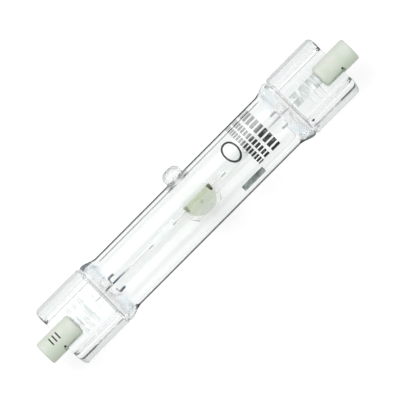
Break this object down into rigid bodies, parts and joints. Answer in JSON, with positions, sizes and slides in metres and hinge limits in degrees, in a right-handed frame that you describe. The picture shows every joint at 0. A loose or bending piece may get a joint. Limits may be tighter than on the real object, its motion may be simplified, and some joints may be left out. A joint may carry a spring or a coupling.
{
  "type": "double-ended metal halide lamp",
  "caption": "Clear tubular discharge lamp, pressed flat at both ends, with a small arc tube inside, a side exhaust tip and a slotted ceramic cap with a recessed contact on each end.",
  "frame": {"origin": "middle of the lamp, on the axis of its tube and its two caps", "axes": "+X along the lamp, +Y across the flat presses on the exhaust tip's side, +Z square to the presses"},
  "size_m": [0.1176, 0.0215, 0.0176],
  "materials": {
    "envelope_silica": "polished",
    "arc_tube_silica": "polished",
    "halide_salts": "matte",
    "mercury": "polished",
    "tungsten": "satin",
    "molybdenum_foil": "satin",
    "lead_wire": "satin",
    "bracket_strip": "satin",
    "getter": "matte",
    "steatite": "satin",
    "cement": "matte",
    "contact_nickel": "satin"
  },
  "bodies": {
    "root": {"outer_envelope": "envelope_silica", "arc_tube": "arc_tube_silica", "halide_film": "halide_salts", "mercury_bead": "mercury", "electrode_rod_left": "tungsten", "electrode_rod_right": "tungsten", "electrode_coil_left": "tungsten", "electrode_coil_right": "tungsten", "arc_foil_left": "molybdenum_foil", "arc_foil_right": "molybdenum_foil", "seal_foil_left": "molybdenum_foil", "seal_foil_right": "molybdenum_foil", "inner_lead_left": "lead_wire", "inner_lead_right": "lead_wire", "outer_lead_left": "lead_wire", "outer_lead_right": "lead_wire", "lead_bracket_left": "bracket_strip", "lead_bracket_right": "bracket_strip", "getter_strip": "getter", "getter_wire": "lead_wire", "ceramic_cap_left": "steatite", "ceramic_cap_right": "steatite", "cement_left": "cement", "cement_right": "cement", "contact_left": "contact_nickel", "contact_right": "contact_nickel"}
  },
  "joints": []
}
